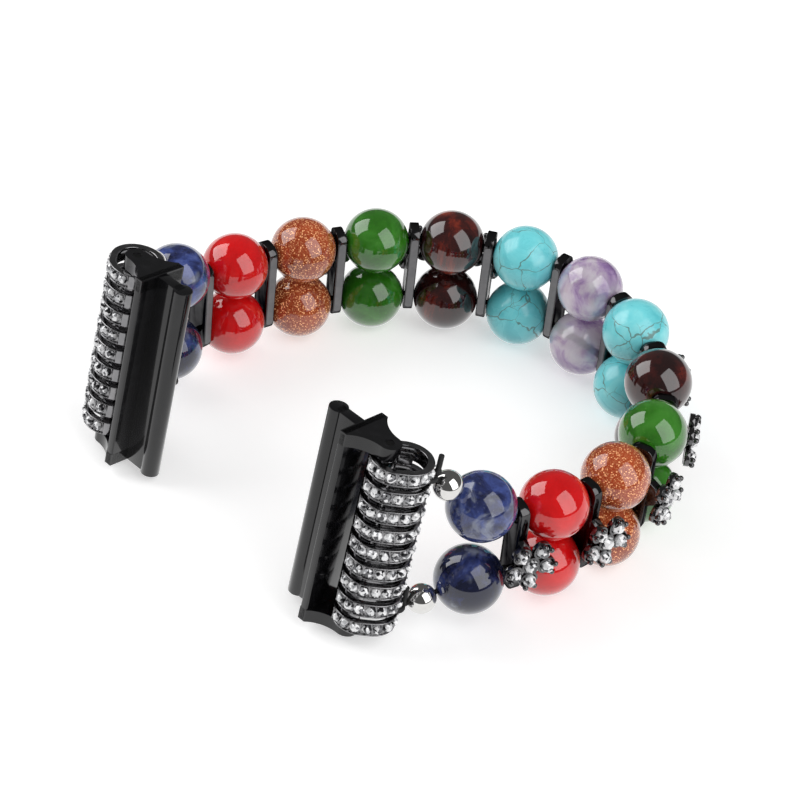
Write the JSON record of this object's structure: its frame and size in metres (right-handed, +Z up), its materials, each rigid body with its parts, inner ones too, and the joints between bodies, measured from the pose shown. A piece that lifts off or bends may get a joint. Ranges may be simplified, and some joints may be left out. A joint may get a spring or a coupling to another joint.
{
  "type": "beaded watch band",
  "caption": "Two-row elastic watch band of polished stone beads with flower-charm spacers, rhinestone end cages and slide-in adaptors.",
  "frame": {"origin": "on the table under the middle of the bounding box of the band, which lies on its side as an open loop", "axes": "+Z up, across the band's width, +X along the longest extent, toward the far side of the loop, +Y to complete a right-handed frame"},
  "size_m": [0.0903, 0.0809, 0.0335],
  "materials": {
    "blue_stone": "polished mottled dark blue stone with paler veins",
    "red_stone": "polished deep red stone",
    "goldstone": "polished orange-brown glass stone with copper sparkles",
    "green_stone": "polished translucent green stone",
    "tiger_eye": "polished dark red-brown stone with silky bands",
    "turquoise": "polished turquoise stone with fine brown cracks",
    "amethyst": "polished cloudy lilac stone",
    "gunmetal": "dark polished plating on cast metal",
    "rhinestone": "clear faceted, silver backed",
    "chrome_ball": "mirror polished",
    "black_adaptor": "glossy black",
    "pin_steel": "plain steel",
    "black_elastic": "matt black elastic cord"
  },
  "bodies": {
    "cords": {"upper_cord": "black_elastic", "lower_cord": "black_elastic"},
    "front_cage": {"front_cage": "gunmetal", "front_cage_stones": "rhinestone"},
    "front_adaptor": {"front_adaptor": "black_adaptor", "front_pin": "pin_steel"},
    "front_latch": {"front_latch": "pin_steel"},
    "back_cage": {"back_cage": "gunmetal", "back_cage_stones": "rhinestone"},
    "back_adaptor": {"back_adaptor": "black_adaptor", "back_pin": "pin_steel"},
    "back_latch": {"back_latch": "pin_steel"},
    "spacer_6": {"spacer_6": "gunmetal"},
    "spacer_5": {"spacer_5": "gunmetal"},
    "spacer_4": {"spacer_4": "gunmetal"},
    "spacer_3": {"spacer_3": "gunmetal"},
    "spacer_2": {"spacer_2": "gunmetal"},
    "spacer_1": {"spacer_1": "gunmetal"},
    "spacer_7": {"spacer_7": "gunmetal"},
    "spacer_8": {"spacer_8": "gunmetal"},
    "spacer_9": {"spacer_9": "gunmetal"},
    "spacer_10": {"spacer_10": "gunmetal"},
    "spacer_11": {"spacer_11": "gunmetal"},
    "spacer_12": {"spacer_12": "gunmetal"},
    "upper_bead_1": {"upper_bead_1": "blue_stone"},
    "lower_bead_1": {"lower_bead_1": "blue_stone"},
    "upper_bead_2": {"upper_bead_2": "red_stone"},
    "lower_bead_2": {"lower_bead_2": "red_stone"},
    "upper_bead_3": {"upper_bead_3": "goldstone"},
    "lower_bead_3": {"lower_bead_3": "goldstone"},
    "upper_bead_4": {"upper_bead_4": "green_stone"},
    "lower_bead_4": {"lower_bead_4": "green_stone"},
    "upper_bead_5": {"upper_bead_5": "tiger_eye"},
    "lower_bead_5": {"lower_bead_5": "tiger_eye"},
    "upper_bead_6": {"upper_bead_6": "turquoise"},
    "lower_bead_6": {"lower_bead_6": "turquoise"},
    "upper_bead_7": {"upper_bead_7": "amethyst"},
    "lower_bead_7": {"lower_bead_7": "amethyst"},
    "upper_bead_8": {"upper_bead_8": "turquoise"},
    "lower_bead_8": {"lower_bead_8": "turquoise"},
    "upper_bead_9": {"upper_bead_9": "tiger_eye"},
    "lower_bead_9": {"lower_bead_9": "tiger_eye"},
    "upper_bead_10": {"upper_bead_10": "green_stone"},
    "lower_bead_10": {"lower_bead_10": "green_stone"},
    "upper_bead_11": {"upper_bead_11": "goldstone"},
    "lower_bead_11": {"lower_bead_11": "goldstone"},
    "upper_bead_12": {"upper_bead_12": "red_stone"},
    "lower_bead_12": {"lower_bead_12": "red_stone"},
    "upper_bead_13": {"upper_bead_13": "blue_stone"},
    "lower_bead_13": {"lower_bead_13": "blue_stone"},
    "upper_ball_front": {"upper_ball_front": "chrome_ball"},
    "lower_ball_front": {"lower_ball_front": "chrome_ball"},
    "upper_ball_back": {"upper_ball_back": "chrome_ball"},
    "lower_ball_back": {"lower_ball_back": "chrome_ball"}
  },
  "joints": [
    {"name": "front_cage_swing", "type": "hinge", "parent": "spacer_12", "child": "front_cage", "pos_m": [0.00497, -0.03393, 0.01635], "axis": [0.1026, 0.1181, 0.9877], "range_deg": [-28, 30], "deforming": ["upper_cord", "lower_cord"]},
    {"name": "front_adaptor_hinge", "type": "hinge", "parent": "front_cage", "child": "front_adaptor", "pos_m": [-0.00102, -0.03474, 0.01707], "axis": [0.1026, 0.1181, 0.9877], "range_deg": [-35, 50]},
    {"name": "front_latch_press", "type": "slide", "parent": "front_adaptor", "child": "front_latch", "axis": [-0.648, -0.7454, 0.1564], "range_m": [0, 0.0005], "stiffness_N_per_m": 200},
    {"name": "back_cage_swing", "type": "hinge", "parent": "spacer_1", "child": "back_cage", "pos_m": [-0.03944, 0.00491, 0.01635], "axis": [-0.1026, -0.1181, -0.9877], "range_deg": [-14, 30], "deforming": ["upper_cord", "lower_cord"]},
    {"name": "back_adaptor_hinge", "type": "hinge", "parent": "back_cage", "child": "back_adaptor", "pos_m": [-0.0394, -0.00114, 0.01707], "axis": [-0.1026, -0.1181, -0.9877], "range_deg": [-35, 50]},
    {"name": "back_latch_press", "type": "slide", "parent": "back_adaptor", "child": "back_latch", "axis": [-0.648, -0.7454, 0.1564], "range_m": [0, 0.0005], "stiffness_N_per_m": 200},
    {"name": "spacer_6_bend", "type": "hinge", "parent": "cords", "child": "spacer_6", "pos_m": [0.02365, 0.0307, 0.01035], "axis": [0, 0, 1], "range_deg": [-20, 1.5], "deforming": ["upper_cord", "lower_cord"]},
    {"name": "spacer_5_bend", "type": "hinge", "parent": "spacer_6", "child": "spacer_5", "pos_m": [0.01242, 0.03435, 0.01035], "axis": [0, 0, 1], "range_deg": [-18, 4], "deforming": ["upper_cord", "lower_cord"]},
    {"name": "spacer_4_bend", "type": "hinge", "parent": "spacer_5", "child": "spacer_4", "pos_m": [0.00062, 0.03435, 0.01035], "axis": [0, 0, 1], "range_deg": [-16, 5], "deforming": ["upper_cord", "lower_cord"]},
    {"name": "spacer_3_bend", "type": "hinge", "parent": "spacer_4", "child": "spacer_3", "pos_m": [-0.01073, 0.0311, 0.01035], "axis": [0, 0, 1], "range_deg": [-13, 6.5], "deforming": ["upper_cord", "lower_cord"]},
    {"name": "spacer_2_bend", "type": "hinge", "parent": "spacer_3", "child": "spacer_2", "pos_m": [-0.02105, 0.02538, 0.01065], "axis": [0, 0, 1], "range_deg": [-11, 7.5], "deforming": ["upper_cord", "lower_cord"]},
    {"name": "spacer_1_bend", "type": "hinge", "parent": "spacer_2", "child": "spacer_1", "pos_m": [-0.03006, 0.01781, 0.01155], "axis": [0, 0, 1], "range_deg": [-14, 6], "deforming": ["upper_cord", "lower_cord"]},
    {"name": "spacer_7_bend", "type": "hinge", "parent": "cords", "child": "spacer_7", "pos_m": [0.03255, 0.02296, 0.01035], "axis": [0, 0, 1], "range_deg": [-1.5, 20], "deforming": ["upper_cord", "lower_cord"]},
    {"name": "spacer_8_bend", "type": "hinge", "parent": "spacer_7", "child": "spacer_8", "pos_m": [0.03773, 0.01235, 0.01035], "axis": [0, 0, 1], "range_deg": [-4, 18], "deforming": ["upper_cord", "lower_cord"]},
    {"name": "spacer_9_bend", "type": "hinge", "parent": "spacer_8", "child": "spacer_9", "pos_m": [0.03937, 0.00066, 0.01035], "axis": [0, 0, 1], "range_deg": [-1.5, 20], "deforming": ["upper_cord", "lower_cord"]},
    {"name": "spacer_10_bend", "type": "hinge", "parent": "spacer_9", "child": "spacer_10", "pos_m": [0.03632, -0.01074, 0.01035], "axis": [0, 0, 1], "range_deg": [-1, 20], "deforming": ["upper_cord", "lower_cord"]},
    {"name": "spacer_11_bend", "type": "hinge", "parent": "spacer_10", "child": "spacer_11", "pos_m": [0.02889, -0.01991, 0.01065], "axis": [0, 0, 1], "range_deg": [-5, 16], "deforming": ["upper_cord", "lower_cord"]},
    {"name": "spacer_12_bend", "type": "hinge", "parent": "spacer_11", "child": "spacer_12", "pos_m": [0.01925, -0.02666, 0.01155], "axis": [0, 0, 1], "range_deg": [-9, 8], "deforming": ["upper_cord", "lower_cord"]},
    {"name": "upper_bead_1_spin", "type": "hinge", "parent": "spacer_1", "child": "upper_bead_1", "pos_m": [-0.03344, 0.01305, 0.01998], "axis": [0.4407, 0.6205, -0.6486], "continuous": true},
    {"name": "lower_bead_1_spin", "type": "hinge", "parent": "spacer_1", "child": "lower_bead_1", "pos_m": [-0.03397, 0.01253, 0.00686], "axis": [0.5905, 0.7982, 0.1195], "continuous": true},
    {"name": "upper_bead_2_spin", "type": "hinge", "parent": "spacer_2", "child": "upper_bead_2", "pos_m": [-0.02555, 0.02159, 0.01645], "axis": [0.7638, 0.6409, -0.0763], "continuous": true},
    {"name": "lower_bead_2_spin", "type": "hinge", "parent": "spacer_2", "child": "lower_bead_2", "pos_m": [-0.02555, 0.02159, 0.00575], "axis": [0.7638, 0.6409, -0.0763], "continuous": true},
    {"name": "upper_bead_3_spin", "type": "hinge", "parent": "spacer_3", "child": "upper_bead_3", "pos_m": [-0.01589, 0.02824, 0.01585], "axis": [0.8743, 0.4847, -0.0254], "continuous": true},
    {"name": "lower_bead_3_spin", "type": "hinge", "parent": "spacer_3", "child": "lower_bead_3", "pos_m": [-0.01589, 0.02824, 0.00515], "axis": [0.8743, 0.4847, -0.0254], "continuous": true},
    {"name": "upper_bead_4_spin", "type": "hinge", "parent": "spacer_4", "child": "upper_bead_4", "pos_m": [-0.00505, 0.03272, 0.0157], "axis": [0.9613, 0.2756, 0], "continuous": true},
    {"name": "lower_bead_4_spin", "type": "hinge", "parent": "spacer_4", "child": "lower_bead_4", "pos_m": [-0.00505, 0.03272, 0.005], "axis": [0.9613, 0.2756, 0], "continuous": true},
    {"name": "upper_bead_5_spin", "type": "hinge", "parent": "spacer_5", "child": "upper_bead_5", "pos_m": [0.00652, 0.03435, 0.0157], "axis": [1, 0, 0], "continuous": true},
    {"name": "lower_bead_5_spin", "type": "hinge", "parent": "spacer_5", "child": "lower_bead_5", "pos_m": [0.00652, 0.03435, 0.005], "axis": [1, 0, 0], "continuous": true},
    {"name": "upper_bead_6_spin", "type": "hinge", "parent": "spacer_6", "child": "upper_bead_6", "pos_m": [0.01803, 0.03253, 0.0157], "axis": [0.9511, -0.309, 0], "continuous": true},
    {"name": "lower_bead_6_spin", "type": "hinge", "parent": "spacer_6", "child": "lower_bead_6", "pos_m": [0.01803, 0.03253, 0.005], "axis": [0.9511, -0.309, 0], "continuous": true},
    {"name": "upper_bead_7_spin", "type": "hinge", "parent": "cords", "child": "upper_bead_7", "pos_m": [0.0281, 0.02683, 0.0157], "axis": [0.7547, -0.6561, 0], "continuous": true},
    {"name": "lower_bead_7_spin", "type": "hinge", "parent": "cords", "child": "lower_bead_7", "pos_m": [0.0281, 0.02683, 0.005], "axis": [0.7547, -0.6561, 0], "continuous": true},
    {"name": "upper_bead_8_spin", "type": "hinge", "parent": "spacer_7", "child": "upper_bead_8", "pos_m": [0.03514, 0.01765, 0.0157], "axis": [0.4384, -0.8988, 0], "continuous": true},
    {"name": "lower_bead_8_spin", "type": "hinge", "parent": "spacer_7", "child": "lower_bead_8", "pos_m": [0.03514, 0.01765, 0.005], "axis": [0.4384, -0.8988, 0], "continuous": true},
    {"name": "upper_bead_9_spin", "type": "hinge", "parent": "spacer_8", "child": "upper_bead_9", "pos_m": [0.03855, 0.00651, 0.0157], "axis": [0.1392, -0.9903, 0], "continuous": true},
    {"name": "lower_bead_9_spin", "type": "hinge", "parent": "spacer_8", "child": "lower_bead_9", "pos_m": [0.03855, 0.00651, 0.005], "axis": [0.1392, -0.9903, 0], "continuous": true},
    {"name": "upper_bead_10_spin", "type": "hinge", "parent": "spacer_9", "child": "upper_bead_10", "pos_m": [0.03784, -0.00504, 0.0157], "axis": [-0.2588, -0.9659, 0], "continuous": true},
    {"name": "lower_bead_10_spin", "type": "hinge", "parent": "spacer_9", "child": "lower_bead_10", "pos_m": [0.03784, -0.00504, 0.005], "axis": [-0.2588, -0.9659, 0], "continuous": true},
    {"name": "upper_bead_11_spin", "type": "hinge", "parent": "spacer_10", "child": "upper_bead_11", "pos_m": [0.0326, -0.01532, 0.01585], "axis": [-0.6291, -0.7769, 0.0254], "continuous": true},
    {"name": "lower_bead_11_spin", "type": "hinge", "parent": "spacer_10", "child": "lower_bead_11", "pos_m": [0.0326, -0.01532, 0.00515], "axis": [-0.6291, -0.7769, 0.0254], "continuous": true},
    {"name": "upper_bead_12_spin", "type": "hinge", "parent": "spacer_11", "child": "upper_bead_12", "pos_m": [0.02407, -0.02328, 0.01645], "axis": [-0.8168, -0.5719, 0.0763], "continuous": true},
    {"name": "lower_bead_12_spin", "type": "hinge", "parent": "spacer_11", "child": "lower_bead_12", "pos_m": [0.02407, -0.02328, 0.00575], "axis": [-0.8168, -0.5719, 0.0763], "continuous": true},
    {"name": "upper_bead_13_spin", "type": "hinge", "parent": "spacer_12", "child": "upper_bead_13", "pos_m": [0.01391, -0.02908, 0.01994], "axis": [-0.6982, -0.3166, 0.6422], "continuous": true},
    {"name": "lower_bead_13_spin", "type": "hinge", "parent": "spacer_12", "child": "lower_bead_13", "pos_m": [0.01351, -0.02985, 0.00686], "axis": [-0.8672, -0.4833, -0.1199], "continuous": true},
    {"name": "upper_ball_front_spin", "type": "hinge", "parent": "spacer_12", "child": "upper_ball_front", "pos_m": [0.009, -0.0313, 0.0251], "axis": [-0.6982, -0.3166, 0.6422], "continuous": true},
    {"name": "lower_ball_front_spin", "type": "hinge", "parent": "spacer_12", "child": "lower_ball_front", "pos_m": [0.00724, -0.03335, 0.00549], "axis": [-0.8672, -0.4833, -0.1199], "continuous": true},
    {"name": "upper_ball_back_spin", "type": "hinge", "parent": "spacer_1", "child": "upper_ball_back", "pos_m": [-0.03646, 0.0088, 0.02508], "axis": [-0.4407, -0.6205, 0.6486], "continuous": true},
    {"name": "lower_ball_back_spin", "type": "hinge", "parent": "spacer_1", "child": "lower_ball_back", "pos_m": [-0.03826, 0.00673, 0.00549], "axis": [-0.5905, -0.7982, -0.1195], "continuous": true}
  ]
}
